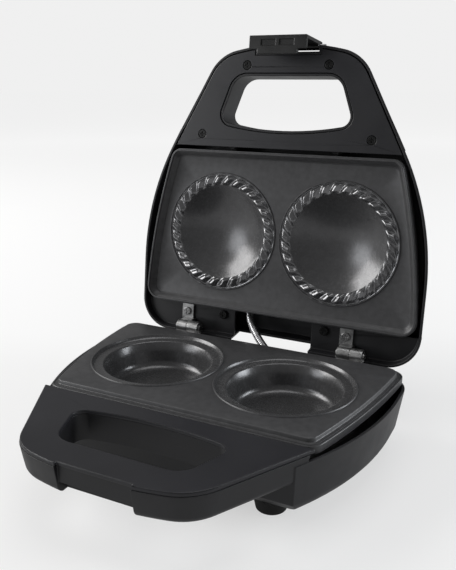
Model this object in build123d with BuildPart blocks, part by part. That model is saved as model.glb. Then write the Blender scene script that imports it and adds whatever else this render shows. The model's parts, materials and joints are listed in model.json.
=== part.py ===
"""Twin pie maker with its lid standing open: two housings, two cast plates, hinges and a latch.

Millimetres, +Z up, front (handles) towards -Y, right-hand side towards +X. The origin is on
the table, in the middle of the open appliance's bounding box. Both halves are drawn in a frame
on the hinge axis: x to the right, y negative towards the handles, z up when the lid is shut.
The lid's frame is turned back about the hinge axis by OPEN_ANGLE.
"""
import os
from math import atan2, cos, degrees, radians, sin, sqrt, tan

from build123d import *

# ---------------------------------------------------------------- driving dimensions
OPEN_ANGLE = 97.0        # lid, from shut to standing open
HINGE_Y = 83.8           # hinge axis behind the origin
HINGE_Z = 52.5           # hinge axis above the table

WALL = 2.2               # moulded housing wall
PLATEAU = 5.5            # lower plate's cooking face above the hinge axis
LID_FACE = 10.0          # upper plate's flat face above the hinge axis, lid shut

WELL_X = 51.8            # well centres, either side
WELL_Y = -85.0
WELL_R = 50.0            # outermost ring round each well
FLUTES = 30              # slanted flutes in each crimp ring

PLATE_REAR = -23.5       # plate outline, at the cooking face
PLATE_FRONT = -149.5
PLATE_REAR_X = 117.0
PLATE_MID_X = 110.5
PLATE_FRONT_X = 95.5
PLATE_T = 2.5            # casting thickness
FLANGE = 4.5             # flange outside the cooking face
RIM_DROP = 6.5           # upper plate's rim stands this proud of its face

BODY_REAR_X = 125.2      # housing outline: straight behind, bowed, then straight flanks
BODY_WAIST_X = 99.0
BODY_WAIST_Y = -159.5
NOSE_X = 61.0            # handle corner, before rounding
NOSE_Y = -229.5
FRONT_Y = -238.5
REAR_CORNER_R = 27.0
NOSE_R = 34.0

BASE_REAR_Y = -15.0      # base housing stops short of the hinge axis
LID_REAR_Y = 7.0         # lid housing reaches past it

BASE_RIM = 3.0           # base housing's rim, below the hinge axis
BASE_DEPTH = 40.5        # base housing's floor, below the hinge axis
BASE_HANDLE_TOP = 1.4    # base handle's rim, above the hinge axis
BASE_HANDLE_DEPTH = 17.5
LID_RIM = 6.5            # lid housing's rim, above the hinge axis
LID_DEPTH = 52.0
LID_HANDLE_RIM = 7.6
LID_HANDLE_DEPTH = 31.0

COVER_T = 2.6            # handle cover panels
BASE_COVER_TOP = 4.0     # base cover's face, above the hinge axis
LID_COVER_FACE = 7.0     # lid cover's face, above the hinge axis, lid shut

NOTCH_HALF = 25.6        # finger notch for the latch
NOTCH_DEEP = 4.6

HINGE_X = (-73.0, 73.0)  # where each hinge's two knuckles meet
KNUCKLE_R = 5.75
KNUCKLE_W = 10.0
KNUCKLE_GAP = 0.4        # side clearance between the knuckles
LEAF_MID = KNUCKLE_GAP / 2 + KNUCKLE_W / 2     # base leaf's middle, beside the meeting line
LEAF_SCREWS_Z = (-11.0, -18.0)
PIN_R = 2.0
PIN_FIT = 0.05           # radial running clearance on the hinge pins

FOOT_X = 67.5
FOOT_Y = (-143.0, -31.0)

# ---------------------------------------------------------------- frames
LEAN = radians(OPEN_ANGLE)
BASE = Plane(origin=(0, HINGE_Y, HINGE_Z))
BASE_DOWN = Plane(origin=(0, HINGE_Y, HINGE_Z), x_dir=(-1, 0, 0), z_dir=(0, 0, -1))
LID = Plane(origin=(0, HINGE_Y, HINGE_Z), x_dir=(1, 0, 0), z_dir=(0, sin(LEAN), cos(LEAN)))
LID_DOWN = Plane(origin=(0, HINGE_Y, HINGE_Z), x_dir=(-1, 0, 0),
                 z_dir=(0, -sin(LEAN), -cos(LEAN)))

os.makedirs("parts", exist_ok=True)
pieces = []


def save(part, name):
    """Label one finished piece and write its STEP file."""
    part.label = name
    pieces.append(part)
    export_step(part, f"parts/{name}.step")


# ---------------------------------------------------------------- outlines
# the bow leaves the flank at the waist and meets the straight rear side, tangent to both
FLANK_LEAN = atan2(BODY_WAIST_X - NOSE_X, BODY_WAIST_Y - NOSE_Y)
BOW_END_Y = BODY_WAIST_Y + (BODY_REAR_X - BODY_WAIST_X) / tan(FLANK_LEAN / 2)


def plate_outline(grow=0.0):
    """The plates' bowed trapezium, grown or shrunk by an offset."""
    with BuildSketch() as face:
        with BuildLine():
            Line((PLATE_REAR_X, PLATE_REAR), (-PLATE_REAR_X, PLATE_REAR))
            ThreePointArc((-PLATE_REAR_X, PLATE_REAR), (-PLATE_MID_X, WELL_Y),
                          (-PLATE_FRONT_X, PLATE_FRONT))
            Line((-PLATE_FRONT_X, PLATE_FRONT), (PLATE_FRONT_X, PLATE_FRONT))
            ThreePointArc((PLATE_FRONT_X, PLATE_FRONT), (PLATE_MID_X, WELL_Y),
                          (PLATE_REAR_X, PLATE_REAR))
        make_face()
        fillet(face.vertices().group_by(Axis.Y)[-1].filter_by(lambda v: abs(v.X) > 1), 8)
        fillet(face.vertices().group_by(Axis.Y)[0].filter_by(lambda v: abs(v.X) > 1), 6)
        if grow:
            offset(amount=grow, kind=Kind.ARC)
    return face.sketch


def body_outline(rear, inset=0.0, front_limit=None):
    """A housing's outline: bowed sides behind, tapering to the rounded handle in front."""
    with BuildSketch() as face:
        with BuildLine():
            Line((BODY_REAR_X, rear), (-BODY_REAR_X, rear))
            Line((-BODY_REAR_X, rear), (-BODY_REAR_X, BOW_END_Y))
            TangentArc((-BODY_WAIST_X, BODY_WAIST_Y), (-BODY_REAR_X, BOW_END_Y),
                       tangent=(NOSE_X - BODY_WAIST_X, BODY_WAIST_Y - NOSE_Y))
            Line((-BODY_WAIST_X, BODY_WAIST_Y), (-NOSE_X, NOSE_Y))
            ThreePointArc((-NOSE_X, NOSE_Y), (0, FRONT_Y), (NOSE_X, NOSE_Y))
            Line((NOSE_X, NOSE_Y), (BODY_WAIST_X, BODY_WAIST_Y))
            TangentArc((BODY_WAIST_X, BODY_WAIST_Y), (BODY_REAR_X, BOW_END_Y),
                       tangent=(BODY_WAIST_X - NOSE_X, BODY_WAIST_Y - NOSE_Y))
            Line((BODY_REAR_X, BOW_END_Y), (BODY_REAR_X, rear))
        make_face()
        fillet(face.vertices().group_by(Axis.Y)[-1].filter_by(lambda v: abs(v.X) > 1), REAR_CORNER_R)
        nose = [v for v in face.vertices() if abs(abs(v.X) - NOSE_X) < 0.1]
        fillet(nose, NOSE_R)
        if inset:
            offset(amount=-inset, kind=Kind.ARC)
    return face.sketch


def opening_outline(grow=0.0):
    """The finger opening in each handle: arched behind, narrower in front."""
    with BuildSketch() as face:
        with BuildLine():
            ThreePointArc((-57, -177.5), (0, -171.2), (57, -177.5))
            Line((57, -177.5), (44, -213.5))
            Line((44, -213.5), (-44, -213.5))
            Line((-44, -213.5), (-57, -177.5))
        make_face()
        fillet(face.vertices().group_by(Axis.Y)[-1], 8)
        fillet(face.vertices().group_by(Axis.Y)[0], 14)
        if grow:
            offset(amount=grow, kind=Kind.ARC)
    return face.sketch


# ---------------------------------------------------------------- housing form
TUB_FRONT = -170.0       # the deep part ends here and the handle goes on
HANDLE_BACK = -160.0
WIDE = 400.0             # larger than anything it cuts


def tub_face(rear, inset):
    """The deep rear part of a housing's outline, behind the handle."""
    with BuildSketch() as face:
        add(body_outline(rear, inset))
        with Locations((0, TUB_FRONT + inset)):
            Rectangle(WIDE, WIDE, align=(Align.CENTER, Align.MIN), mode=Mode.INTERSECT)
    return face.sketch


def handle_face(rear, inset, notch):
    """The handle's outline, with the notch that the latch sits in."""
    with BuildSketch() as face:
        add(body_outline(rear, inset))
        with Locations((0, HANDLE_BACK)):
            Rectangle(WIDE, WIDE, align=(Align.CENTER, Align.MAX), mode=Mode.INTERSECT)
        with Locations((0, FRONT_Y + notch + inset)):
            Rectangle(2 * (NOTCH_HALF + inset), WIDE, align=(Align.CENTER, Align.MAX),
                      mode=Mode.SUBTRACT)
    return face.sketch


def housing(rear, rim, depth, handle_rim, handle_depth, draft, corner, notch):
    """A housing's outside; +z runs into it, away from the other half."""
    with BuildPart() as tub:
        with BuildSketch(Plane.XY.offset(rim)):
            add(tub_face(rear, 0))
        extrude(amount=depth - rim, taper=draft)
        fillet(tub.faces().sort_by(Axis.Z)[-1].edges(), corner)
    with BuildPart() as body:
        with BuildSketch(Plane.XY.offset(handle_rim)):
            add(body_outline(rear))
            with Locations((0, HANDLE_BACK)):
                Rectangle(WIDE, WIDE, align=(Align.CENTER, Align.MAX), mode=Mode.INTERSECT)
        extrude(amount=handle_depth - handle_rim, taper=draft)
        fillet(body.faces().sort_by(Axis.Z)[-1].edges().sort_by(Axis.Y)[:-1], 6)
        with BuildSketch(Plane.XY.offset(handle_rim - 10)):
            with Locations((0, FRONT_Y + notch)):
                Rectangle(2 * NOTCH_HALF, WIDE, align=(Align.CENTER, Align.MAX))
        extrude(amount=WIDE, mode=Mode.SUBTRACT)
        add(tub.part)
    return body.part


def cavity(rear, rim, depth, handle_rim, handle_depth, draft, corner, notch):
    """The space inside a housing, stepped in where the outside turns its corner."""
    step = corner - 3
    with BuildPart() as space:
        with BuildSketch(Plane.XY.offset(rim)):
            add(tub_face(rear, WALL))
        extrude(amount=depth - WALL - step - rim, taper=draft)
        with BuildSketch(Plane.XY.offset(rim)):
            add(tub_face(rear, WALL + step))
        extrude(amount=depth - WALL - rim, taper=draft)
        with BuildSketch(Plane.XY.offset(handle_rim)):
            add(handle_face(rear, WALL, notch))
        extrude(amount=handle_depth - WALL - handle_rim, taper=draft)
    return space.part


def opening_walls(handle_rim, handle_depth):
    """The wall round the finger opening, through the handle's depth."""
    with BuildPart() as walls:
        with BuildSketch(Plane.XY.offset(handle_rim)):
            add(opening_outline(WALL))
        extrude(amount=handle_depth - handle_rim)
    return walls.part


def opening_core():
    """What is cut out of a handle for the fingers."""
    with BuildPart() as core:
        with BuildSketch(Plane.XY.offset(-60)):
            add(opening_outline())
        extrude(amount=160)
    return core.part


BASE_DRAFT = 9.0
BASE_CORNER = 11.0
BASE_FORM = dict(rear=BASE_REAR_Y, rim=BASE_RIM, depth=BASE_DEPTH, handle_rim=-BASE_HANDLE_TOP,
                 handle_depth=BASE_HANDLE_DEPTH, draft=BASE_DRAFT, corner=BASE_CORNER,
                 notch=NOTCH_DEEP)
LID_FORM = dict(rear=LID_REAR_Y, rim=LID_RIM, depth=LID_DEPTH, handle_rim=LID_HANDLE_RIM,
                handle_depth=LID_HANDLE_DEPTH, draft=12.0, corner=20.0, notch=6.6)


# ---------------------------------------------------------------- posts shared by both halves
POSTS = [(-95, -46), (95, -46), (-79, -127), (79, -127)]
POST_R = 5.5
POST_TOP = 6.0           # base posts end this far below the hinge axis
SHANK_R = 1.9
HEAD_R = 3.8
LUG_SPOTS = [(-45, -158.5), (45, -158.5), (-46, -13.0), (46, -13.0)]
COVER_BACK = -156.6      # rear edge of both handle covers
COVER_SCREWS = [(-34.5, -222.0), (34.5, -222.0), (-72.8, -166.5), (72.8, -166.5)]
LEDGE_FACE = 12.5        # lid housing's rear ledge, where the hinges are screwed on
LEAF_DX = (-13.0, -2.0)  # each lid leaf, either side of where its knuckles meet
LEAF_SCREW = (-8.0, -11.5)
CONDUIT_HALF = 35.0      # gap in the lid's rear wall for the wire sleeve


def cross_screw(head_r, head_h, length, shank_r=SHANK_R):
    """A cross-head screw standing on its tip; the top of its head is at z = 0."""
    with BuildPart() as screw:
        with Locations((0, 0, -head_h / 2)):
            Cylinder(head_r, head_h)
        with Locations((0, 0, -head_h - length / 2)):
            Cylinder(shank_r, length)
        chamfer(screw.faces().sort_by(Axis.Z)[-1].edges(), 0.3)
        with Locations((0, 0, -head_h / 4)):
            Box(head_r * 1.2, 0.8, head_h / 2, mode=Mode.SUBTRACT)
            Box(0.8, head_r * 1.2, head_h / 2, mode=Mode.SUBTRACT)
    return screw.part


# ---------------------------------------------------------------- base housing
FEET = [(x, y) for x in (-FOOT_X, FOOT_X) for y in FOOT_Y]
FOOT_TOP_R = 12.5
FOOT_STEM_R = 4.0
BUSH_X = -46.0
BUSH_DROP = 24.0         # cord inlet's centre, below the hinge axis
BUSH_R = 7.0
TOE = 13.0               # the base tub's front edge slopes back by this much
TOE_OVER = 6.0           # the slope's cut runs on past the tub by this much
SLOT_DROP = 9.5          # where the latch's hook catches, below the hinge axis
HOOK_BACK = -226.0       # rear of the pocket under the handle that the hook swings into


def hook_pocket(inset):
    """The space under the handle's front wall that the latch's hook swings into."""
    with BuildPart() as pocket:
        with Locations((0, HOOK_BACK + inset, SLOT_DROP - inset)):
            Box(2 * (NOTCH_HALF + inset), WIDE, 60, align=(Align.CENTER, Align.MAX, Align.MIN))
    return pocket.part


def toe(inset):
    """What the slope under the tub's front edge cuts away, moved inwards by inset."""
    shift = inset * sqrt(2)
    with BuildPart() as wedge:
        with BuildSketch(Plane.YZ):
            with BuildLine():
                Polyline((TUB_FRONT - TOE_OVER, BASE_DEPTH - TOE - TOE_OVER - shift),
                         (TUB_FRONT + TOE + TOE_OVER, BASE_DEPTH + TOE_OVER - shift),
                         (TUB_FRONT - TOE_OVER, BASE_DEPTH + TOE_OVER - shift),
                         (TUB_FRONT - TOE_OVER, BASE_DEPTH - TOE - TOE_OVER - shift))
            make_face()
        extrude(amount=WIDE, both=True)
    return wedge.part


def base_cavity():
    """The base's cavity, kept clear of the hook's pocket and of the sloping toe."""
    with BuildPart() as space:
        add(cavity(**BASE_FORM))
        add(hook_pocket(WALL), mode=Mode.SUBTRACT)
        add(toe(WALL), mode=Mode.SUBTRACT)
    return space.part


with BuildPart(BASE_DOWN) as base_shell:
    add(housing(**BASE_FORM))
    add(toe(0), mode=Mode.SUBTRACT)
    add(hook_pocket(0), mode=Mode.SUBTRACT)
    add(base_cavity(), mode=Mode.SUBTRACT)
    add(opening_walls(-BASE_HANDLE_TOP, BASE_HANDLE_DEPTH))
    add(opening_core(), mode=Mode.SUBTRACT)
    with BuildSketch(BASE_DOWN.offset(POST_TOP)):
        with Locations(*POSTS):
            Circle(POST_R)
    extrude(amount=BASE_DEPTH - POST_TOP - 1)
    with BuildSketch(BASE_DOWN.offset(POST_TOP - 1)):
        with Locations(*POSTS):
            Circle(SHANK_R + 0.3)
    extrude(amount=BASE_DEPTH, mode=Mode.SUBTRACT)
    with BuildSketch(BASE_DOWN.offset(POST_TOP + 5)):
        with Locations(*POSTS):
            Circle(HEAD_R + 0.4)
    extrude(amount=BASE_DEPTH, mode=Mode.SUBTRACT)
    with BuildSketch(BASE_DOWN.offset(BASE_DEPTH - WALL - 3)):
        with Locations(*FEET):
            Circle(FOOT_TOP_R + 0.8)
    extrude(amount=WALL + 3)
    with BuildSketch(BASE_DOWN.offset(BASE_DEPTH - 20)):
        with Locations(*FEET):
            Circle(FOOT_STEM_R)
    extrude(amount=30, mode=Mode.SUBTRACT)
    # flat pads that the hinge leaves are screwed to
    with BuildSketch(BASE_DOWN.offset(BASE_RIM)):
        with Locations(*[(-x - LEAF_MID, BASE_REAR_Y - 4) for x in HINGE_X]):
            Rectangle(14, 8)
    extrude(amount=22)
    for x in HINGE_X:
        for z in LEAF_SCREWS_Z:
            with BuildSketch(Plane((x + LEAF_MID, HINGE_Y + BASE_REAR_Y - 7.5, HINGE_Z + z),
                                   x_dir=(1, 0, 0), z_dir=(0, 1, 0))):
                Circle(SHANK_R + 0.05)
            extrude(amount=12, mode=Mode.SUBTRACT)
    # cord inlet
    with BuildSketch(Plane((BUSH_X, HINGE_Y + BASE_REAR_Y - 18, HINGE_Z - BUSH_DROP),
                           x_dir=(1, 0, 0), z_dir=(0, 1, 0))):
        Circle(BUSH_R)
    extrude(amount=40, mode=Mode.SUBTRACT)
save(base_shell.part, "base_shell")

with BuildPart(BASE) as base_handle_cover:
    with BuildSketch(BASE.offset(BASE_COVER_TOP - COVER_T)):
        add(body_outline(BASE_REAR_Y, 0.5))
        with Locations((0, COVER_BACK)):
            Rectangle(WIDE, WIDE, align=(Align.CENTER, Align.MAX), mode=Mode.INTERSECT)
        add(opening_outline(), mode=Mode.SUBTRACT)
        with Locations((0, FRONT_Y + NOTCH_DEEP - 0.6)):
            Rectangle(2 * NOTCH_HALF, 30, align=(Align.CENTER, Align.MAX), mode=Mode.SUBTRACT)
    extrude(amount=COVER_T)
    chamfer(base_handle_cover.faces().sort_by(Axis.Z)[-1].edges(), 0.5)
save(base_handle_cover.part, "base_handle_cover")


# ---------------------------------------------------------------- lower plate
SKIRT_T = 2.0
FLANGE_DROP = 3.0        # flange below the cooking face
SEAT_T = 1.95            # raised band on each plate's back that the element is clamped to
SEAT_BAND = (-7.5, -13.5)
BOSS_R = 4.2


def ring(z, height, outer, inner):
    """A closed band between two offsets of the plate outline."""
    with BuildPart() as band:
        with BuildSketch(Plane.XY.offset(z)):
            add(plate_outline(outer))
            add(plate_outline(inner), mode=Mode.SUBTRACT)
        extrude(amount=height)
    return band.part


def lower_well():
    """One lower well about z, its cooking face at z = 0: raised ring, pastry ledge, bowl."""
    with BuildPart() as well:
        with BuildSketch(Plane.XZ):
            with BuildLine():
                Polyline((WELL_R + 0.4, 0), (WELL_R, 0.9), (WELL_R - 0.9, 0.9), (WELL_R - 1.4, -0.6),
                         (47.2, -1.8), (42.0, -1.8), (40.6, -2.6), (37.4, -18), (35.6, -21),
                         (32, -22.5), (0, -22.5), (0, -25), (33, -25), (37.8, -23), (40, -19),
                         (43.2, -4.4), (WELL_R + 0.4, -PLATE_T), (WELL_R + 0.4, 0))
            make_face()
        revolve(axis=Axis.Z)
    return well.part


with BuildPart(BASE) as lower_plate:
    with BuildSketch(BASE.offset(PLATEAU - PLATE_T)):
        add(plate_outline())
        with Locations((-WELL_X, WELL_Y), (WELL_X, WELL_Y)):
            Circle(WELL_R + 0.2, mode=Mode.SUBTRACT)
    extrude(amount=PLATE_T)
    add(ring(PLATEAU - FLANGE_DROP - 2, FLANGE_DROP + 1, 0, -PLATE_T))
    add(ring(PLATEAU - FLANGE_DROP - 2, 2, FLANGE, -PLATE_T))
    add(ring(PLATEAU - 8, 8 - FLANGE_DROP, FLANGE, FLANGE - SKIRT_T))
    add(ring(PLATEAU - PLATE_T - SEAT_T, SEAT_T + 0.1, *SEAT_BAND))
    with Locations((-WELL_X, WELL_Y, PLATEAU), (WELL_X, WELL_Y, PLATEAU)):
        add(lower_well())
    with BuildSketch(BASE.offset(-POST_TOP + 0.2)):
        with Locations(*POSTS):
            Circle(BOSS_R)
    extrude(amount=PLATEAU - PLATE_T + POST_TOP - 0.1)
    with BuildSketch(BASE.offset(-POST_TOP)):
        with Locations(*POSTS):
            Circle(SHANK_R + 0.05)
    extrude(amount=7, mode=Mode.SUBTRACT)
save(lower_plate.part, "lower_plate")

with BuildPart(BASE_DOWN) as lower_plate_screws:
    with Locations(*[(x, y, POST_TOP + 5) for x, y in POSTS]):
        add(cross_screw(HEAD_R, 2.4, 11.5).mirror(Plane.XY))
save(lower_plate_screws.part, "lower_plate_screws")


# ---------------------------------------------------------------- heating, both halves
ROD_R = 3.25
LOOP = [(12, -33), (106, -33), (101.5, -85), (86, -140)]


def heater_loop():
    """A tubular element round both wells, with its cold pins, at z = 0."""
    right = [(x, y, 0) for x, y in LOOP]
    left = [(-x, y, 0) for x, y in reversed(LOOP)]
    with BuildPart() as rod:
        with BuildLine():
            path = FilletPolyline(*right, *left, radius=12)
        with BuildSketch(Plane(origin=path @ 0, z_dir=path % 0)):
            Circle(ROD_R)
        sweep(path=path)
        with Locations(Location((8.5, -33, 0), (0, 90, 0)), Location((-8.5, -33, 0), (0, 90, 0))):
            Cylinder(1.6, 7)
    return rod.part


def heat_tray(depth):
    """A pressed tray over the element, open towards the plate at z = 0."""
    with BuildPart() as tray:
        with BuildSketch():
            add(plate_outline(-4.5))
        extrude(amount=depth)
        with BuildSketch():
            add(plate_outline(-5.3))
        extrude(amount=depth - 0.8, mode=Mode.SUBTRACT)
        with BuildSketch(Plane.XY.offset(depth - 2)):
            with Locations(*POSTS):
                Circle(POST_R + 0.5)
            with Locations((0, -48)):
                SlotOverall(26, 18, rotation=90)
        extrude(amount=4, mode=Mode.SUBTRACT)
    return tray.part


with BuildPart(BASE) as lower_heater:
    with Locations((0, 0, PLATEAU - PLATE_T - SEAT_T - ROD_R - 0.05)):
        add(heater_loop())
save(lower_heater.part, "lower_heater")

with BuildPart(BASE_DOWN) as lower_heat_tray:
    with Locations((0, 0, 5.0)):
        add(heat_tray(23.5))
save(lower_heat_tray.part, "lower_heat_tray")

with BuildPart(LID) as upper_heater:
    with Locations((0, 0, LID_FACE + PLATE_T + SEAT_T + ROD_R + 0.05)):
        add(heater_loop())
save(upper_heater.part, "upper_heater")

with BuildPart(LID) as upper_heat_tray:
    with Locations((0, 0, LID_FACE + PLATE_T + 1.5)):
        add(heat_tray(16.5))
save(upper_heat_tray.part, "upper_heat_tray")


# ---------------------------------------------------------------- controls inside the base
with BuildPart(BASE) as thermostat:
    with Locations((0, -48, PLATEAU - PLATE_T - 4.05)):
        Cylinder(8, 8)
    with Locations((0, -48, PLATEAU - PLATE_T - 9.5)):
        Cylinder(5.5, 3)
    with Locations((0, -48, PLATEAU - PLATE_T - 11.2)):
        Box(3, 17, 0.8)
save(thermostat.part, "thermostat")

with BuildPart(BASE) as thermal_fuse:
    with Locations(Location((0, -116, PLATEAU - PLATE_T - 2.3), (90, 0, 0))):
        Cylinder(2.2, 12)
        Cylinder(0.6, 26)
save(thermal_fuse.part, "thermal_fuse")

with BuildPart(BASE) as terminal_block:
    with Locations((0, -60, -BASE_DEPTH + WALL + 4)):
        Box(32, 15, 8)
    with Locations(*[(x, -60, -BASE_DEPTH + WALL + 8) for x in (-10, 0, 10)]):
        Cylinder(2.6, 5, mode=Mode.SUBTRACT)
save(terminal_block.part, "terminal_block")

BUSH_PLANE = Plane((BUSH_X, HINGE_Y + BASE_REAR_Y, HINGE_Z - BUSH_DROP),
                   x_dir=(1, 0, 0), z_dir=(0, 1, 0))
CORD_BORE_R = 3.6
with BuildPart(BUSH_PLANE) as cord_inlet_bush:
    with BuildSketch(BUSH_PLANE.offset(-11)):
        Circle(BUSH_R - 0.05)
    extrude(amount=16)
    with BuildSketch(BUSH_PLANE.offset(0.1)):
        Circle(BUSH_R + 2.2)
    extrude(amount=3)
    chamfer(cord_inlet_bush.faces().sort_by(Axis.Y)[-1].edges(), 0.8)
    with BuildSketch(BUSH_PLANE.offset(-15)):
        Circle(CORD_BORE_R)
    extrude(amount=30, mode=Mode.SUBTRACT)
save(cord_inlet_bush.part, "cord_inlet_bush")


# ---------------------------------------------------------------- feet
FOOT_BOTTOM_R = 10.0
for x, y in FEET:
    side = "left" if x < 0 else "right"
    place = "front" if y < -90 else "rear"
    with BuildPart(BASE_DOWN) as foot:
        with BuildSketch(BASE_DOWN.offset(BASE_DEPTH)):
            with Locations((-x, y)):
                Circle(FOOT_TOP_R)
        with BuildSketch(BASE_DOWN.offset(HINGE_Z)):
            with Locations((-x, y)):
                Circle(FOOT_BOTTOM_R)
        loft()
        fillet(foot.faces().sort_by(Axis.Z)[0].edges(), 1.0)
        with BuildSketch(BASE_DOWN.offset(BASE_DEPTH - 5)):
            with Locations((-x, y)):
                Circle(FOOT_STEM_R - 0.05)
        extrude(amount=6)
    save(foot.part, f"foot_{place}_{side}")


# ---------------------------------------------------------------- lid housing
LAMPS = {"power": -12.0, "ready": 12.0}
LAMP_Y = -132.0
LENS_R = 4.5
LATCH_Y = -236.9         # latch pivot
LATCH_Z = 15.0
LATCH_PIN_R = 1.5
with BuildPart(LID) as lid_shell:
    add(housing(**LID_FORM))
    add(cavity(**LID_FORM), mode=Mode.SUBTRACT)
    with BuildSketch(LID):
        add(handle_face(LID_REAR_Y, WALL, LID_FORM["notch"]))
        with Locations((0, -161)):
            Rectangle(180, 12)
    extrude(amount=LID_COVER_FACE + COVER_T + 0.05, mode=Mode.SUBTRACT)
    add(opening_walls(LID_HANDLE_RIM, LID_HANDLE_DEPTH))
    add(opening_core(), mode=Mode.SUBTRACT)
    # ledge behind the plate
    with BuildSketch(LID.offset(LEDGE_FACE)):
        add(tub_face(LID_REAR_Y, WALL - 0.5))
        with Locations((0, -19)):
            Rectangle(WIDE, WIDE, align=(Align.CENTER, Align.MIN), mode=Mode.INTERSECT)
        Rectangle(2 * CONDUIT_HALF, 44, mode=Mode.SUBTRACT)
    extrude(amount=WALL)
    with BuildSketch(LID.offset(0)):
        with Locations((0, LID_REAR_Y)):
            Rectangle(2 * CONDUIT_HALF, 14)
    extrude(amount=24, mode=Mode.SUBTRACT)
    # posts for the plate's lugs and for the handle cover
    with BuildSketch(LID.offset(LID_FACE + PLATE_T)):
        with Locations(*LUG_SPOTS):
            Circle(4.6)
    extrude(amount=22)
    with BuildSketch(LID.offset(LID_COVER_FACE + COVER_T)):
        with Locations(*COVER_SCREWS):
            Circle(4.2)
    extrude(amount=LID_HANDLE_DEPTH - LID_COVER_FACE - COVER_T - 1)
    with BuildSketch(LID.offset(0)):
        with Locations(*LUG_SPOTS, *COVER_SCREWS):
            Circle(SHANK_R + 0.05)
    extrude(amount=24, mode=Mode.SUBTRACT)
    with BuildSketch(LID.offset(LEDGE_FACE - 1)):
        with Locations(*[(x + LEAF_SCREW[0], LEAF_SCREW[1]) for x in HINGE_X]):
            Circle(SHANK_R + 0.05)
    extrude(amount=8, mode=Mode.SUBTRACT)
    # lamp holes, and the holes that hold the latch's pin
    with BuildSketch(LID.offset(LID_DEPTH - 6)):
        with Locations(*[(x, LAMP_Y) for x in LAMPS.values()]):
            Circle(LENS_R + 0.05)
    extrude(amount=10, mode=Mode.SUBTRACT)
    with Locations((0, LATCH_Y, LATCH_Z)):
        Cylinder(LATCH_PIN_R, 2 * NOTCH_HALF + 5.0, rotation=(0, 90, 0), mode=Mode.SUBTRACT)
save(lid_shell.part, "lid_shell")

COVER_RECESS = 1.3
with BuildPart(LID_DOWN) as lid_handle_cover:
    with BuildSketch(LID_DOWN.offset(-LID_COVER_FACE - COVER_T)):
        add(body_outline(LID_REAR_Y, WALL + 0.9))
        with Locations((0, COVER_BACK)):
            Rectangle(WIDE, WIDE, align=(Align.CENTER, Align.MAX), mode=Mode.INTERSECT)
        add(opening_outline(WALL + 0.3), mode=Mode.SUBTRACT)
        with Locations((0, FRONT_Y + LID_FORM["notch"] + WALL + 0.3)):
            Rectangle(2 * (NOTCH_HALF + WALL + 0.3), 30, align=(Align.CENTER, Align.MAX),
                      mode=Mode.SUBTRACT)
    extrude(amount=COVER_T)
    with BuildSketch(LID_DOWN.offset(-LID_COVER_FACE - COVER_RECESS)):
        with Locations(*COVER_SCREWS):
            Circle(3.7)
    extrude(amount=5, mode=Mode.SUBTRACT)
    with BuildSketch(LID_DOWN.offset(-LID_COVER_FACE - 5)):
        with Locations(*COVER_SCREWS):
            Circle(SHANK_R + 0.15)
    extrude(amount=5, mode=Mode.SUBTRACT)
save(lid_handle_cover.part, "lid_handle_cover")

with BuildPart(LID_DOWN) as lid_cover_screws:
    with Locations(*[(x, y, -LID_COVER_FACE - 0.15) for x, y in COVER_SCREWS]):
        add(cross_screw(3.5, COVER_RECESS - 0.2, 12))
save(lid_cover_screws.part, "lid_cover_screws")


# ---------------------------------------------------------------- upper plate
FLUTE_R = 43.6           # middle of the crimp ring
DOME = 13.5              # how far each upper well is hollowed
DOME_EDGE = (39.4, 0.3)  # where the hollow meets the crimp ring
DOME_R = (DOME_EDGE[0] ** 2 + (DOME - DOME_EDGE[1]) ** 2) / (2 * (DOME - DOME_EDGE[1]))
BACK_Z = PLATE_T + 0.4   # where the dome's back meets the sheet
BACK_X = sqrt((DOME_R + PLATE_T) ** 2 - (BACK_Z - DOME + DOME_R) ** 2)


def upper_well():
    """One upper well about z, its flat face at z = 0 and the hollow running up from it."""
    with BuildPart() as well:
        with BuildSketch(Plane.XZ):
            with BuildLine():
                Polyline((WELL_R + 0.4, 0), (WELL_R, -0.9), (WELL_R - 0.9, -0.9), (WELL_R - 1.6, 0.6),
                         (47.6, 0.4), (46.6, -2.2), (45.2, -3.0), (42.2, -3.0), (40.6, -2.2),
                         DOME_EDGE)
                RadiusArc(DOME_EDGE, (0, DOME), -DOME_R)
                Line((0, DOME), (0, DOME + PLATE_T))
                RadiusArc((0, DOME + PLATE_T), (BACK_X, BACK_Z), DOME_R + PLATE_T)
                Polyline((BACK_X, BACK_Z), (WELL_R + 0.4, PLATE_T), (WELL_R + 0.4, 0))
            make_face()
        revolve(axis=Axis.Z)
        with PolarLocations(FLUTE_R, FLUTES):
            with Locations(Location((0, 0, -3.6), (0, 90, 32))):
                Cylinder(2.3, 11, mode=Mode.SUBTRACT)
    return well.part


RECESS_OUT = 1.8         # recess outline at the rim's tip, and at the flat face
RECESS_IN = -2.5
RECESS_SLOPE = degrees(atan2(RECESS_OUT - RECESS_IN, RIM_DROP))
with BuildPart() as recess:
    with BuildSketch(Plane.XY.offset(LID_FACE - RIM_DROP)):
        add(plate_outline(RECESS_OUT))
    extrude(amount=RIM_DROP, taper=RECESS_SLOPE)

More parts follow.
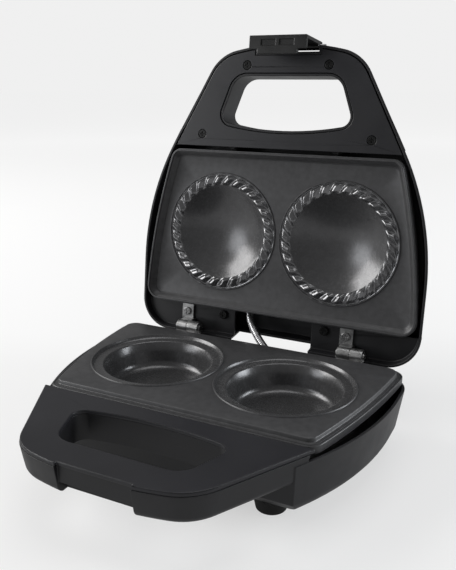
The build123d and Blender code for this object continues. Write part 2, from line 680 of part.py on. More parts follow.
with BuildPart(LID) as upper_plate:
    with BuildSketch(LID.offset(LID_FACE - RIM_DROP)):
        add(plate_outline(4.0))
    extrude(amount=RIM_DROP + PLATE_T)
    add(recess.part, mode=Mode.SUBTRACT)
    with BuildSketch(LID.offset(LID_FACE - RIM_DROP)):
        add(plate_outline(4.0))
        add(plate_outline(3.1), mode=Mode.SUBTRACT)
    extrude(amount=1.0, mode=Mode.SUBTRACT)
    with BuildSketch(LID.offset(LID_FACE - 1)):
        with Locations((-WELL_X, WELL_Y), (WELL_X, WELL_Y)):
            Circle(WELL_R + 0.2)
    extrude(amount=10, mode=Mode.SUBTRACT)
    with Locations((-WELL_X, WELL_Y, LID_FACE), (WELL_X, WELL_Y, LID_FACE)):
        add(upper_well())
    add(ring(LID_FACE + PLATE_T - 0.1, SEAT_T + 0.1, *SEAT_BAND))
    with BuildSketch(LID.offset(LID_FACE)):
        with Locations(*LUG_SPOTS[:2]):
            Rectangle(15, 11)
        with Locations(*LUG_SPOTS[2:]):
            Rectangle(15, 15)
    extrude(amount=PLATE_T)
    with BuildSketch(LID.offset(LID_FACE - 1)):
        with Locations(*LUG_SPOTS):
            Circle(SHANK_R + 0.3)
    extrude(amount=5, mode=Mode.SUBTRACT)
    with BuildSketch(LID.offset(LID_FACE - 1)):
        with Locations(*LUG_SPOTS):
            Circle(HEAD_R + 0.1)
    extrude(amount=2.7, mode=Mode.SUBTRACT)
save(upper_plate.part, "upper_plate")

with BuildPart(LID_DOWN) as upper_plate_screws:
    with Locations(*[(x, y, -LID_FACE - 0.15) for x, y in LUG_SPOTS]):
        add(cross_screw(HEAD_R, 1.5, 12))
save(upper_plate_screws.part, "upper_plate_screws")

with BuildPart(LID) as thermal_cutout:
    with Locations((0, -48, LID_FACE + PLATE_T + 4.05)):
        Cylinder(7, 8)
    with Locations((0, -48, LID_FACE + PLATE_T + 9)):
        Box(3, 18, 2)
save(thermal_cutout.part, "thermal_cutout")


# ---------------------------------------------------------------- lamps in the lid
for name, x in LAMPS.items():
    with BuildPart(LID) as lens:
        with Locations((x, LAMP_Y, LID_DEPTH - WALL / 2 - 0.5)):
            Cylinder(LENS_R, WALL + 1.6)
        fillet(lens.edges().sort_by(lambda e: e.center().Y)[-1], 1.0)
        with Locations((x, LAMP_Y, LID_DEPTH - WALL - 2.6)):
            Cylinder(LENS_R - 1, 3)
    save(lens.part, f"{name}_lens")
    with BuildPart(LID) as bulb:
        with Locations((x, LAMP_Y, LID_DEPTH - WALL - 10)):
            Cylinder(2.6, 11)
    save(bulb.part, f"{name}_lamp")


# ---------------------------------------------------------------- hinges
LEAF_T = 2.2
ARM_W = KNUCKLE_W - 0.2


def knuckle(x0, bore):
    """One knuckle on the hinge axis, from x0 along x, in the yz plane."""
    plane = Plane(origin=(x0, 0, 0), x_dir=(0, 1, 0), z_dir=(1, 0, 0))
    with BuildPart() as barrel:
        with BuildSketch(plane):
            Circle(KNUCKLE_R)
            Circle(bore, mode=Mode.SUBTRACT)
        extrude(amount=KNUCKLE_W)
    return barrel.part


def lid_leaf(x):
    """Hinge leaf of the lid: a strap under the ledge, cranked down to its knuckle."""
    with BuildPart() as leaf:
        with Locations((x + sum(LEAF_DX) / 2, -10.5, LEDGE_FACE - LEAF_T / 2 - 0.02)):
            Box(LEAF_DX[1] - LEAF_DX[0], 15, LEAF_T)
        with Locations((x - KNUCKLE_GAP / 2 - KNUCKLE_W / 2, -2.0, LEDGE_FACE / 2 + 0.8)):
            Box(ARM_W, 7, LEDGE_FACE - 3.6)
        add(knuckle(x - KNUCKLE_GAP / 2 - KNUCKLE_W, PIN_R + PIN_FIT))
        with Locations((x - KNUCKLE_GAP / 2 - KNUCKLE_W / 2, 0, 0)):
            Cylinder(PIN_R + PIN_FIT, 40, rotation=(0, 90, 0), mode=Mode.SUBTRACT)
        with Locations((x + LEAF_SCREW[0], LEAF_SCREW[1], LEDGE_FACE)):
            Cylinder(SHANK_R + 0.15, 8, mode=Mode.SUBTRACT)
    return leaf.part


def base_leaf(x):
    """Hinge leaf of the base: screwed to the rear wall, its arm reaching back to the knuckle."""
    with BuildPart() as leaf:
        with Locations((x + LEAF_MID, BASE_REAR_Y + LEAF_T / 2 + 0.02, -13.0)):
            Box(ARM_W, LEAF_T, 20)
        with Locations((x + LEAF_MID, BASE_REAR_Y / 2, -4.2)):
            Box(ARM_W, -BASE_REAR_Y - 0.04, 2.6)
        add(knuckle(x + KNUCKLE_GAP / 2, PIN_R))
        with Locations(*[(x + LEAF_MID, BASE_REAR_Y, z) for z in LEAF_SCREWS_Z]):
            Cylinder(SHANK_R + 0.15, 8, rotation=(90, 0, 0), mode=Mode.SUBTRACT)
    return leaf.part


def hinge_pin(x):
    """Riveted pin through both knuckles."""
    with BuildPart() as pin:
        with Locations((x, 0, 0)):
            Cylinder(PIN_R, 2 * KNUCKLE_W + KNUCKLE_GAP + 0.4, rotation=(0, 90, 0))
        with Locations((x - KNUCKLE_W - 0.95, 0, 0), (x + KNUCKLE_W + 0.95, 0, 0)):
            Cylinder(3.3, 1.2, rotation=(0, 90, 0))
    return pin.part


for side, x in zip(("left", "right"), HINGE_X):
    with BuildPart(LID) as part:
        add(lid_leaf(x))
    save(part.part, f"lid_hinge_leaf_{side}")
    with BuildPart(BASE) as part:
        add(base_leaf(x))
    save(part.part, f"base_hinge_leaf_{side}")
    with BuildPart(BASE) as part:
        add(hinge_pin(x))
    save(part.part, f"hinge_pin_{side}")

with BuildPart(LID_DOWN) as lid_hinge_screws:
    with Locations(*[(-x - LEAF_SCREW[0], LEAF_SCREW[1], -LEDGE_FACE + LEAF_T + 1.6) for x in HINGE_X]):
        add(cross_screw(3.6, 1.5, 8))
save(lid_hinge_screws.part, "lid_hinge_screws")

with BuildPart() as base_hinge_screws:
    for x in HINGE_X:
        for z in LEAF_SCREWS_Z:
            plane = Plane((x + LEAF_MID, HINGE_Y + BASE_REAR_Y + LEAF_T + 1.6,
                           HINGE_Z + z), x_dir=(1, 0, 0), z_dir=(0, 1, 0))
            add(cross_screw(3.4, 1.5, 9).moved(plane.location))
save(base_hinge_screws.part, "base_hinge_screws")


# ---------------------------------------------------------------- latch
LATCH_HALF = 23.4
LATCH_FRONT = -240.8
LATCH_T = 3.0
LATCH_BAR = 10.0         # bar across the tip, full width
LATCH_TIP = -15.5        # lowest point, below the hinge axis, lid shut
HOOK_TOP = -12.3
HOOK_END = HOOK_BACK - 1.2

LATCH_SIDE = Plane(origin=LID.from_local_coords((-LATCH_HALF, 0, 0)), x_dir=LID.y_dir, z_dir=(1, 0, 0))
with BuildPart(LATCH_SIDE) as latch:
    with BuildSketch(LATCH_SIDE):
        with BuildLine():
            Polyline((LATCH_FRONT, 20), (LATCH_FRONT, LATCH_TIP), (HOOK_END, LATCH_TIP),
                     (HOOK_END, HOOK_TOP), (LATCH_FRONT + LATCH_T, HOOK_TOP),
                     (LATCH_FRONT + LATCH_T, 20), (LATCH_FRONT, 20))
        make_face()
        with Locations((LATCH_Y, LATCH_Z)):
            Circle(3.1)
    extrude(amount=2 * LATCH_HALF)
    with BuildSketch(LATCH_SIDE):
        with Locations((LATCH_Y, LATCH_Z)):
            Circle(LATCH_PIN_R + PIN_FIT)
    extrude(amount=2 * LATCH_HALF, mode=Mode.SUBTRACT)
    # the hook's lip is narrower than the bar above it
    for start, width in ((0, 7), (2 * LATCH_HALF - 7, 8)):
        with BuildSketch(LATCH_SIDE.offset(start)):
            with Locations((LATCH_FRONT + LATCH_BAR, HOOK_TOP + 1)):
                Rectangle(40, 30, align=(Align.MIN, Align.MAX))
        extrude(amount=width, mode=Mode.SUBTRACT)
    # two windows in the bar's face
    with BuildSketch(LID.offset(LATCH_TIP)):
        with Locations((-7.5, LATCH_FRONT + 5.2), (7.5, LATCH_FRONT + 5.2)):
            Rectangle(12, 4.4)
    extrude(amount=0.9, mode=Mode.SUBTRACT)
save(latch.part, "latch")

with BuildPart(LID) as latch_pin:
    with Locations((0, LATCH_Y, LATCH_Z)):
        Cylinder(LATCH_PIN_R, 2 * NOTCH_HALF + 5.0, rotation=(0, 90, 0))
save(latch_pin.part, "latch_pin")


# ---------------------------------------------------------------- wire sleeve
SLEEVE_R = 3.4
SLEEVE = [(-24.0, 21.0, 13.0), (-19.0, 12.5, 8.5), (-8.0, 3.5, -1.0), (4.0, -3.5, -9.0),
          (12.0, -10.5, -12.5)]
with BuildPart(BASE) as wire_sleeve:
    with BuildLine(BASE):
        route = FilletPolyline(*SLEEVE, radius=18)
    with BuildSketch(Plane(origin=route @ 0, z_dir=route % 0)):
        Circle(SLEEVE_R)
    sweep(path=route)
save(wire_sleeve.part, "wire_sleeve")

whole = Compound(children=pieces).bounding_box()
print("box", whole.min, whole.max)
print("nodes", len(pieces))
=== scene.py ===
"""Twin pie maker, standing open: finer plates and wire sleeve, finishes, light and camera.

Lengths in the shape code are millimetres in the two halves' own frames. Both frames start
on the hinge axis: x to the right, y towards the back and z up when the lid is shut.
"""

import json
from math import atan2, cos, hypot, pi, radians, sin, tan

import bmesh
import bpy
from mathutils import Matrix, Vector


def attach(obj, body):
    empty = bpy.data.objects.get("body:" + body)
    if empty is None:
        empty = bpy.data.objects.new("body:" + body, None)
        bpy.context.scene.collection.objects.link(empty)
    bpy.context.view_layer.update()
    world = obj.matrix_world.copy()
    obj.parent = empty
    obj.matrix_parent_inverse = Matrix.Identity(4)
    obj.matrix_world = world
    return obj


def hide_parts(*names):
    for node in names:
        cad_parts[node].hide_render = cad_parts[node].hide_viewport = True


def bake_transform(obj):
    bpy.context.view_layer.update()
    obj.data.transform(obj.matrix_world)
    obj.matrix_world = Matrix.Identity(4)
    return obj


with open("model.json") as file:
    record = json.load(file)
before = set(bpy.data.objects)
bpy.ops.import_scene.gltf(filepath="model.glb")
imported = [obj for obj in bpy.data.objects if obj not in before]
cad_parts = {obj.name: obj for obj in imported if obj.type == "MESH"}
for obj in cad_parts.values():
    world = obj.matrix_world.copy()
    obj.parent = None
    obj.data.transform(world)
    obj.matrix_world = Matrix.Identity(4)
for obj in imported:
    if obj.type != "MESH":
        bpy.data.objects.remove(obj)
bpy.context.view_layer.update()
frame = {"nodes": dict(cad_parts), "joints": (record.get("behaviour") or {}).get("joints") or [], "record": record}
nodes = frame["nodes"]
joints = {j["name"]: j for j in frame["joints"]}

MM = 0.001
HINGE = Vector(joints["lid_hinge"]["pos_m"])
LEAN = radians(joints["lid_hinge"]["range_deg"][1])
BASE = Matrix.Translation(HINGE) @ Matrix.Scale(MM, 4)
LID = Matrix.Translation(HINGE) @ Matrix.Rotation(-LEAN, 4, "X") @ Matrix.Scale(MM, 4)


# ---------------------------------------------------------------- finishes
class Shader:
    """A Principled material, and the few textures that vary it."""

    def __init__(self, name, rough, metal=0.0, specular=0.5, coat=0.0):
        self.material = bpy.data.materials.new(name)
        self.material.use_nodes = True
        self.tree = self.material.node_tree
        self.out = self.tree.nodes["Principled BSDF"]
        self.out.inputs["Roughness"].default_value = rough
        self.out.inputs["Metallic"].default_value = metal
        self.out.inputs["Specular IOR Level"].default_value = specular
        self.out.inputs["Coat Weight"].default_value = coat
        self.height = None
        self.place = self.node("ShaderNodeTexCoord").outputs["Object"]

    def node(self, kind, **values):
        new = self.tree.nodes.new(kind)
        for key, value in values.items():
            if hasattr(new, key):
                setattr(new, key, value)
            else:
                new.inputs[key.replace("_", " ")].default_value = value
        return new

    def link(self, source, target):
        self.tree.links.new(source, target)

    def noise(self, scale, detail=3.0, stretch=(1, 1, 1)):
        mapping = self.node("ShaderNodeMapping", Scale=stretch)
        self.link(self.place, mapping.inputs["Vector"])
        noise = self.node("ShaderNodeTexNoise", Scale=scale, Detail=detail)
        self.link(mapping.outputs["Vector"], noise.inputs["Vector"])
        return noise.outputs["Fac"]

    def spread(self, value, low, high, start=0.3, end=0.7):
        """A texture's middle range, spread from low to high."""
        out = self.node("ShaderNodeMapRange", From_Min=start, From_Max=end, To_Min=low, To_Max=high)
        self.link(value, out.inputs["Value"])
        return out.outputs["Result"]

    def colour(self, dark, light, scale=14.0, stretch=(1, 1, 1), detail=3.0):
        ramp = self.node("ShaderNodeValToRGB")
        ramp.color_ramp.elements[0].position, ramp.color_ramp.elements[1].position = 0.32, 0.68
        ramp.color_ramp.elements[0].color = (*dark, 1)
        ramp.color_ramp.elements[1].color = (*light, 1)
        self.link(self.noise(scale, detail, stretch), ramp.inputs["Fac"])
        self.link(ramp.outputs["Color"], self.out.inputs["Base Color"])
        return self

    def vary(self, low, high, scale, stretch=(1, 1, 1)):
        self.link(self.spread(self.noise(scale, 4.0, stretch), low, high), self.out.inputs["Roughness"])
        return self

    def bump(self, scale, depth, strength=0.5, stretch=(1, 1, 1), detail=3.0):
        bump = self.node("ShaderNodeBump", Strength=strength, Distance=depth * MM)
        self.link(self.noise(scale, detail, stretch), bump.inputs["Height"])
        if self.height:
            self.link(self.height, bump.inputs["Normal"])
        self.height = bump.outputs["Normal"]
        self.link(self.height, self.out.inputs["Normal"])
        return self


def grey(value, blue=0.0, warm=0.0):
    return (value * (1 + warm), value, value * (1 + blue))


def finishes():
    """Every finish by the record's slot name, and the plates' smoother wells and flutes, whose lighter colour is
    painted highlight.
    """
    long_x = (0.03, 1, 1)
    made = {
        "housing": Shader("housing_plastic", 0.42, specular=0.4)
        .colour(grey(0.0085, 0.12), grey(0.0125, 0.15)).vary(0.36, 0.46, 60)
        .bump(2600, 0.03, 0.30).bump(90, 0.05, 0.06),
        "handle_panel": Shader("panel_plastic", 0.38, specular=0.4)
        .colour(grey(0.014, 0.16), grey(0.019, 0.18)).vary(0.33, 0.42, 45)
        .bump(3200, 0.02, 0.25).bump(60, 0.06, 0.05),
        "nonstick": Shader("nonstick_face", 0.4, metal=0.35, specular=0.5)
        .colour(grey(0.054, 0.04), grey(0.069, 0.04), 220).vary(0.36, 0.46, 500)
        .bump(1500, 0.03, 0.35).bump(260, 0.02, 0.12),
        # The wells' coating: smoother than the face, and lighter in colour as painted highlight in the domes and
        # wells.
        "nonstick_well_painted_highlight": Shader("nonstick_well_painted_highlight", 0.3, metal=0.6, specular=0.5)
        .colour(grey(0.088, 0.03), grey(0.104, 0.03), 220).vary(0.23, 0.30, 400)
        .bump(1500, 0.02, 0.22),
        # The flutes' coating: glossier, and painted much lighter than the face so that the flutes show painted
        # highlights.
        "nonstick_flute_painted_highlight": Shader("nonstick_flute_painted_highlight", 0.2, metal=0.75, specular=0.6)
        .colour(grey(0.17, 0.03), grey(0.21, 0.03), 220).vary(0.17, 0.25, 400)
        .bump(1500, 0.01, 0.15),
        "element": Shader("element_sheath", 0.45, metal=1.0)
        .colour(grey(0.16, -0.05, 0.05), grey(0.28, -0.05, 0.05), 90).bump(900, 0.02, 0.3),
        "tray_sheet": Shader("tray_sheet", 0.3, metal=1.0)
        .colour(grey(0.45), grey(0.58), 30).vary(0.24, 0.36, 700, long_x),
        "shield_sheet": Shader("shield_sheet", 0.34, metal=1.0)
        .colour(grey(0.38), grey(0.52), 22, detail=6.0).vary(0.28, 0.44, 60),
        "screw_steel": Shader("screw_steel", 0.28, metal=1.0)
        .colour(grey(0.30), grey(0.46), 260).vary(0.2, 0.38, 900),
        "black_screw": Shader("blacked_screw", 0.34, metal=0.8)
        .colour(grey(0.010), grey(0.022), 400).vary(0.28, 0.45, 900),
        "ceramic": Shader("ceramic", 0.55)
        .colour(grey(0.58, -0.08, 0.03), grey(0.68, -0.08, 0.03), 80).bump(1200, 0.02, 0.3),
        "rubber": Shader("rubber", 0.72, specular=0.3)
        .colour(grey(0.008), grey(0.014), 120).bump(1500, 0.04, 0.4),
        "red_lens": Shader("red_lens", 0.12, coat=0.4)
        .colour((0.36, 0.010, 0.008), (0.48, 0.016, 0.012), 200).vary(0.08, 0.16, 300),
        "green_lens": Shader("green_lens", 0.12, coat=0.4)
        .colour((0.010, 0.26, 0.040), (0.016, 0.36, 0.060), 200).vary(0.08, 0.16, 300),
        "lamp_glass": Shader("lamp_glass", 0.08)
        .colour((0.75, 0.55, 0.42), (0.85, 0.66, 0.52), 200),
        "hinge_steel": Shader("hinge_steel", 0.36, metal=1.0)
        .colour(grey(0.26), grey(0.44), 160).vary(0.28, 0.46, 700, (1, 0.05, 1))
        .bump(1100, 0.02, 0.3),
        "latch_plastic": Shader("latch_plastic", 0.3, specular=0.5)
        .colour(grey(0.006), grey(0.009), 40).vary(0.26, 0.34, 80).bump(2600, 0.01, 0.2),
        "sleeve": Shader("sleeve_metal", 0.3, metal=1.0)
        .colour(grey(0.34, 0.03), grey(0.52, 0.03), 300).vary(0.22, 0.4, 900),
    }
    return {name: shader.material for name, shader in made.items()}


FINISH = finishes()


# ---------------------------------------------------------------- mesh helpers
def piece(name, mesh, slots, frame_matrix, body):
    """A finished mesh as an object that rides on a body."""
    mesh.transform(frame_matrix)
    made = bpy.data.objects.new(name, mesh)
    bpy.context.scene.collection.objects.link(made)
    for one in slots:
        made.data.materials.append(FINISH[one])
    if body:
        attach(made, body)
    return made


def smooth(mesh, sharp=38.0):
    """Smooth shading with the sharp edges kept."""
    bm = bmesh.new()
    bm.from_mesh(mesh)
    bmesh.ops.recalc_face_normals(bm, faces=bm.faces)
    for face in bm.faces:
        face.smooth = True
    for edge in bm.edges:
        edge.smooth = len(edge.link_faces) == 2 and edge.calc_face_angle(0) < radians(sharp)
    bm.to_mesh(mesh)
    bm.free()


def soften(node, width, segments=2):
    """Moulded edges on a CAD node: its corners joined up again, then rounded a little."""
    made = nodes[node]
    made.modifiers.new("weld", "WELD").merge_threshold = 1e-6
    edge = made.modifiers.new("edges", "BEVEL")
    edge.width = width * MM
    edge.segments = segments
    edge.limit_method = "ANGLE"
    edge.angle_limit = radians(38)
    edge.use_clamp_overlap = False
    made.modifiers.new("shading", "WEIGHTED_NORMAL").keep_sharp = True
    return made


# ---------------------------------------------------------------- plates
WELL_X, WELL_Y = 51.8, -85.0
FLUTES = 30
FLUTE_MIDDLE = 43.9      # radius at the middle of the crimp ring
FLUTE_SLANT = tan(radians(36))
COLUMNS = FLUTES * 14
REAR, FRONT = -23.5, -149.5
HALF = {"rear": 117.0, "middle": 110.5, "front": 95.5}
CORNER = {"rear": 8.0, "front": 6.0}
ROUND_STEPS = 9
SIDE_STEPS = 26
# The crimp ring and the well inside it take lighter copies of the coating: painted highlight.
RING_EDGE = 49.2         # inside this radius a well has its own finish
DOME_RADIUS = 39.8       # inside this radius an upper well is a smooth dome
CASTING = 1.4            # thickness given to the finer fronts


def side():
    """The bowed right-hand side, front to rear: an arc through its three known points."""
    (ax, ay), (bx, by), (cx, cy) = (HALF["front"], FRONT), (HALF["middle"], WELL_Y), (HALF["rear"], REAR)
    turn = 2 * (ax * (by - cy) + bx * (cy - ay) + cx * (ay - by))
    a2, b2, c2 = ax * ax + ay * ay, bx * bx + by * by, cx * cx + cy * cy
    ox = (a2 * (by - cy) + b2 * (cy - ay) + c2 * (ay - by)) / turn
    oy = (a2 * (cx - bx) + b2 * (ax - cx) + c2 * (bx - ax)) / turn
    radius = hypot(ax - ox, ay - oy)
    first, last = atan2(ay - oy, ax - ox), atan2(cy - oy, cx - ox)
    return lambda t: Vector((ox + radius * cos(first + t * (last - first)),
                             oy + radius * sin(first + t * (last - first)))), \
        radius * (last - first)


def rounded(corner, before, after, radius):
    """A corner's arc, from one side's direction to the next."""
    back, on = (before - corner).normalized(), (after - corner).normalized()
    turn = pi - back.angle(on)
    reach = radius * tan(turn / 2)
    start, end = corner + back * reach, corner + on * reach
    pull = 4 / 3 * tan(turn / 4) * radius
    a, b = start - back * pull, end - on * pull
    points = []
    for step in range(ROUND_STEPS + 1):
        t = step / ROUND_STEPS
        points.append((1 - t) ** 3 * start + 3 * t * (1 - t) ** 2 * a
                      + 3 * t * t * (1 - t) * b + t ** 3 * end)
    return points


def plate_outline():
    """The plates' outline counter-clockwise, with each point's outward direction."""
    at, length = side()
    front, rear = at(0), at(1)
    inset_front, inset_rear = CORNER["front"] * 0.93 / length, CORNER["rear"] * 1.1 / length
    right = rounded(front, Vector((0, FRONT)), at(0.05), CORNER["front"])
    for step in range(1, SIDE_STEPS):
        right.append(at(inset_front + (1 - inset_front - inset_rear) * step / SIDE_STEPS))
    right += rounded(rear, at(0.95), Vector((0, REAR)), CORNER["rear"])
    middle = [Vector((x, REAR)) for x in (70, 23, -23, -70)]
    left = [Vector((-p.x, p.y)) for p in reversed(right)]
    points = right + middle + left + [Vector((x, FRONT)) for x in (-60, -20, 20, 60)]
    count = len(points)
    outward = []
    for i in range(count):
        along = (points[(i + 1) % count] - points[i - 1]).normalized()
        outward.append(Vector((along.y, -along.x)))
    return points, outward


def bridge(bm, one, two, index=0):
    """Faces between two closed loops with as many points each."""
    count = len(one)
    for i in range(count):
        face = bm.faces.new((one[i], one[(i + 1) % count], two[(i + 1) % count], two[i]))
        face.material_index = index


def plate(name, rim, flat_z, well, bands, relief=None):
    """A plate's whole front: its stepped rim, its flat, and two wells let into that.

    rim is (outward offset, height) from the outside in, well is (radius, height) likewise;
    bands are the radii inside which a well takes the next finish, and relief adds the
    flutes to its height at a radius and an angle."""
    bm = bmesh.new()
    points, outward = plate_outline()
    last = None
    for grow, z in rim:
        loop = [bm.verts.new((p.x + n.x * grow, p.y + n.y * grow, z)) for p, n in zip(points, outward)]
        if last:
            bridge(bm, last, loop)
        last = loop
    loops = [last]
    for side_sign in (-1, 1):
        centre = Vector((side_sign * WELL_X, WELL_Y))
        previous = None
        for radius, z in well:
            loop = []
            for column in range(COLUMNS):
                angle = 2 * pi * column / COLUMNS
                rise = relief(radius, angle) if relief else 0.0
                loop.append(bm.verts.new((centre.x + radius * cos(angle),
                                          centre.y + radius * sin(angle), flat_z + z + rise)))
            if previous:
                bridge(bm, previous, loop, sum(radius < band for band in bands))
            else:
                loops.append(loop)
            previous = loop
        face = bm.faces.new(previous)
        face.material_index = len(bands)
        bmesh.ops.poke(bm, faces=[face])
    edges = []
    for loop in loops:
        for i in range(len(loop)):
            a, b = loop[i], loop[(i + 1) % len(loop)]
            edges.append(bm.edges.get((a, b)) or bm.edges.new((a, b)))
    bmesh.ops.triangle_fill(bm, use_beauty=True, use_dissolve=False, edges=edges)
    mesh = bpy.data.meshes.new(name)
    bm.to_mesh(mesh)
    bm.free()
    smooth(mesh)
    return mesh


def cast(made):
    """Give a plate's front its thickness, behind its face."""
    back = made.modifiers.new("casting", "SOLIDIFY")
    back.thickness, back.offset = CASTING * MM, -1.0


def spherical(edge_radius, edge_z, depth, steps):
    """Stations of a spherical hollow, from its edge to just short of its middle."""
    height = depth - edge_z
    radius = (edge_radius ** 2 + height ** 2) / (2 * height)
    top = atan2(edge_radius, radius - height)
    return [(radius * sin(top * (1 - i / steps)),
             depth - radius + radius * cos(top * (1 - i / steps))) for i in range(1, steps)]


UPPER_FACE = 10.0        # the upper plate's flat, above the hinge axis with the lid shut
FLUTE_BAND = (48.3, 39.6)
FLUTE_RINGS = 20         # rings of points across that band
CREST = 3.0              # height of the flutes


def crest_profile(t):
    """Height of the crimp ring across its band, 0 at either edge and 1 over its middle."""
    return min(1.0, 1.35 * sin(pi * t)) if 0 < t < 1 else 0.0


def flutes(radius, angle):
    """Slanted, rope-like flutes: rounded lobes with narrow valleys between them."""
    outer, inner = FLUTE_BAND
    t = (outer - radius) / (outer - inner)
    if not 0 < t < 1:
        return 0.0
    phase = FLUTES * (angle - FLUTE_SLANT * (radius - FLUTE_MIDDLE) / FLUTE_MIDDLE)
    lobe = (0.5 + 0.5 * cos(phase)) ** 0.8
    lean = 0.3 * sin(phase) * crest_profile(t)
    return -CREST * crest_profile(t) * (0.12 + 0.88 * lobe) + lean


def upper_plate():
    rim = [(4.0, 12.4), (4.0, 5.0), (3.85, 4.7), (3.2, 4.62), (3.1, 4.5), (3.05, 3.8), (2.85, 3.55),
           (2.0, 3.5), (1.75, 3.62), (1.6, 4.0), (1.5, 4.9), (1.2, 5.1), (0.9, 5.25), (-1.2, 8.9),
           (-1.5, 9.15), (-1.9, 9.25), (-2.15, 9.8), (-2.6, 10.0)]
    well = [(50.4, 0.0), (50.25, -0.55), (49.95, -0.85), (49.4, -0.85), (49.1, -0.55), (48.8, 0.45),
            (48.3, 0.6)]
    outer, inner = FLUTE_BAND
    for ring in range(1, FLUTE_RINGS + 1):
        well.append((outer + (inner - outer) * ring / FLUTE_RINGS, 0.6 - 0.2 * ring / FLUTE_RINGS))
    well += [(39.3, 0.55)] + spherical(39.3, 0.55, 13.5, 18)
    mesh = plate("upper_plate_front", rim, UPPER_FACE, well, (RING_EDGE, DOME_RADIUS), flutes)
    # The flutes and the dome take lighter copies of the coating: painted highlight.
    finish = ["nonstick", "nonstick_flute_painted_highlight", "nonstick_well_painted_highlight"]
    made = piece("upper_plate_front", mesh, finish, LID, "lid")
    cast(made)
    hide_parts("upper_plate")


LOWER_FACE = 5.5         # the lower plate's flat, above the hinge axis


def lower_plate():
    rim = [(4.5, -2.5), (4.5, 2.15), (4.25, 2.45), (3.3, 2.5), (3.15, 2.2), (2.6, 2.1), (2.45, 2.5),
           (0.7, 2.5), (0.35, 2.7), (0.15, 3.1), (0.05, 4.9), (-0.2, 5.3), (-0.7, 5.5)]
    well = [(50.4, 0.0), (50.25, 0.55), (49.95, 0.85), (49.4, 0.85), (49.1, 0.55), (48.7, -0.6),
            (47.4, -1.65), (46.9, -1.8), (42.2, -1.8), (41.2, -2.05), (40.6, -2.7), (38.9, -10.0),
            (37.6, -17.2), (36.9, -19.3), (35.4, -21.2), (33.6, -22.2), (31.6, -22.5), (16, -22.5),
            (4, -22.5)]
    mesh = plate("lower_plate_front", rim, LOWER_FACE, well, (RING_EDGE,))
    # The well takes a lighter copy of the coating: painted highlight.
    made = piece("lower_plate_front", mesh, ["nonstick", "nonstick_well_painted_highlight"], BASE, "base")
    cast(made)
    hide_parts("lower_plate")


# ---------------------------------------------------------------- wire sleeve
SLEEVE_ROUTE = [(-24.0, 21.0, 13.0), (-19.0, 12.5, 8.5), (-8.0, 3.5, -1.0), (4.0, -3.5, -9.0),
                (12.0, -10.5, -12.5)]
SLEEVE_R = 3.3
SLEEVE_AROUND = 28
RIB_PITCH = 1.7
RIB_DEPTH = 0.45


def catmull(points, per_span=40):
    """A smooth line through the points."""
    pts = [Vector(p) for p in points]
    pts = [2 * pts[0] - pts[1]] + pts + [2 * pts[-1] - pts[-2]]
    line = []
    for i in range(1, len(pts) - 2):
        a, b, c, d = pts[i - 1:i + 3]
        for step in range(per_span):
            t = step / per_span
            line.append(0.5 * (2 * b + (c - a) * t + (2 * a - 5 * b + 4 * c - d) * t * t
                               + (3 * b - a - 3 * c + d) * t ** 3))
    return line + [pts[-2]]


def wire_sleeve():
    """A tube of rolled rings, bending where it crosses the hinge axis."""
    line = catmull(SLEEVE_ROUTE)
    bm = bmesh.new()
    gone, previous, up = 0.0, None, Vector((1, 0, 0))
    for i, point in enumerate(line):
        along = (line[min(i + 1, len(line) - 1)] - line[max(i - 1, 0)]).normalized()
        up = (up - along * up.dot(along)).normalized()
        across = along.cross(up)
        if i:
            gone += (point - line[i - 1]).length
        radius = SLEEVE_R - RIB_DEPTH * abs(sin(pi * gone / RIB_PITCH)) ** 2
        loop = [bm.verts.new(point + radius * (cos(a) * up + sin(a) * across))
                for a in (2 * pi * k / SLEEVE_AROUND for k in range(SLEEVE_AROUND))]
        if previous:
            bridge(bm, previous, loop)
        else:
            bm.faces.new(loop)
        previous = loop
    bm.faces.new(previous)
    mesh = bpy.data.meshes.new("wire_sleeve_ribbed")
    bm.to_mesh(mesh)
    bm.free()
    smooth(mesh, 60)
    made = piece("wire_sleeve_ribbed", mesh, ["sleeve"], BASE, None)
    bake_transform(made)
    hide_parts("wire_sleeve")


# ---------------------------------------------------------------- CAD nodes
EDGE = {
    "base_shell": 0.45, "lid_shell": 0.5, "base_handle_cover": 0.45, "lid_handle_cover": 0.35,
    "latch": 0.45, "lid_cover_screws": 0.15, "lid_hinge_screws": 0.15,
    "base_hinge_screws": 0.15, "base_hinge_leaf_left": 0.2, "base_hinge_leaf_right": 0.2,
    "lid_hinge_leaf_left": 0.2, "lid_hinge_leaf_right": 0.2, "foot_front_left": 0.8,
    "foot_front_right": 0.8, "foot_rear_left": 0.8, "foot_rear_right": 0.8, "cord_inlet_bush": 0.4,
    "upper_plate_screws": 0.15,
}


def dress_nodes():
    for part in frame["record"]["subparts"]:
        made = nodes[part["node"]]
        made.data.materials.clear()
        made.data.materials.append(FINISH[part["material_slot"]])
    for node, width in EDGE.items():
        soften(node, width)


# ---------------------------------------------------------------- stage
VIEW_AZIMUTH, VIEW_ELEVATION = 26.57, 16.62
CAMERA_AT = Vector((0.2168, HINGE.y - 0.5033, 0.2638))
LENS = 44.29


def backdrop_light(tree, seen, cast):
    """A strength that is one number where it's seen and another where it lights the object."""
    path = tree.nodes.new("ShaderNodeLightPath")
    choose = tree.nodes.new("ShaderNodeMix")
    tree.links.new(path.outputs["Is Camera Ray"], choose.inputs["Factor"])
    choose.inputs["A"].default_value = cast
    if isinstance(seen, float):
        choose.inputs["B"].default_value = seen
    else:
        tree.links.new(seen, choose.inputs["B"])
    return choose.outputs["Result"]


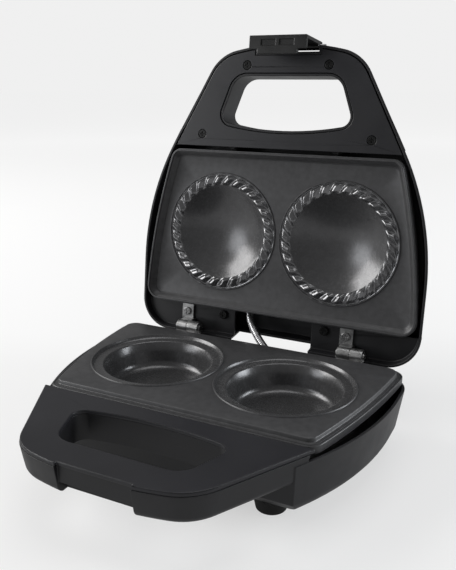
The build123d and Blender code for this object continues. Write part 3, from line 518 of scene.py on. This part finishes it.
def floor():
    """A pale floor that turns evenly lit away from the object, so that it meets the backdrop."""
    mesh = bpy.data.meshes.new("floor")
    bm = bmesh.new()
    bmesh.ops.create_circle(bm, cap_ends=True, segments=96, radius=12)
    bm.to_mesh(mesh)
    bm.free()
    made = bpy.data.objects.new("floor", mesh)
    bpy.context.scene.collection.objects.link(made)
    paper = Shader("floor_paper", 0.9, specular=0.0)
    paper.colour(grey(FLOOR_ALBEDO), grey(FLOOR_ALBEDO * 1.01), 3)
    far = paper.node("ShaderNodeVectorMath", operation="LENGTH")
    paper.link(paper.place, far.inputs[0])
    glow = paper.spread(far.outputs["Value"], FLOOR_GLOW_NEAR, FLOOR_GLOW_FAR, 0.25, 2.6)
    paper.out.inputs["Emission Color"].default_value = (1, 1, 1, 1)
    paper.link(backdrop_light(paper.tree, glow, 0.22), paper.out.inputs["Emission Strength"])
    mesh.materials.append(paper.material)


FLOOR_ALBEDO = 0.36
FLOOR_GLOW_NEAR, FLOOR_GLOW_FAR = 0.56, 0.78
BACKDROP = 0.87


def stage():
    floor()
    world = bpy.data.worlds.new("studio")
    world.use_nodes = True
    background = world.node_tree.nodes["Background"]
    background.inputs["Color"].default_value = (1, 1, 1, 1)
    world.node_tree.links.new(backdrop_light(world.node_tree, BACKDROP, 0.24),
                              background.inputs["Strength"])
    bpy.context.scene.world = world
    bpy.context.scene.view_settings.view_transform = "Standard"

    target = Vector((0, 0, 0.13))
    for name, place, size, power, tint in [
        ("key", (-1.6, -0.42, 1.0), 1.1, 27, (1, 0.99, 0.97)),
        ("right", (1.5, 0.75, 0.55), 0.9, 20, (0.93, 0.97, 1)),
        ("top", (0.1, 0.3, 2.2), 1.4, 11, (1, 1, 1)),
        ("front_left", (-1.5, -1.35, 0.5), 0.9, 9, (0.96, 0.98, 1)),
    ]:
        data = bpy.data.lights.new(name, "AREA")
        data.size, data.energy, data.color = size, power, tint
        light = bpy.data.objects.new(name, data)
        light.location = place
        light.rotation_euler = (target - Vector(place)).to_track_quat("-Z", "Y").to_euler()
        bpy.context.scene.collection.objects.link(light)

    data = bpy.data.cameras.new("camera")
    data.lens, data.sensor_width, data.sensor_fit = LENS, 36.0, "AUTO"
    camera = bpy.data.objects.new("camera", data)
    camera.location = CAMERA_AT
    az, el = radians(VIEW_AZIMUTH), radians(VIEW_ELEVATION)
    look = Vector((-sin(az) * cos(el), cos(az) * cos(el), -sin(el)))
    camera.rotation_euler = look.to_track_quat("-Z", "Y").to_euler()
    bpy.context.scene.collection.objects.link(camera)
    bpy.context.scene.camera = camera


dress_nodes()
upper_plate()
lower_plate()
wire_sleeve()
stage()
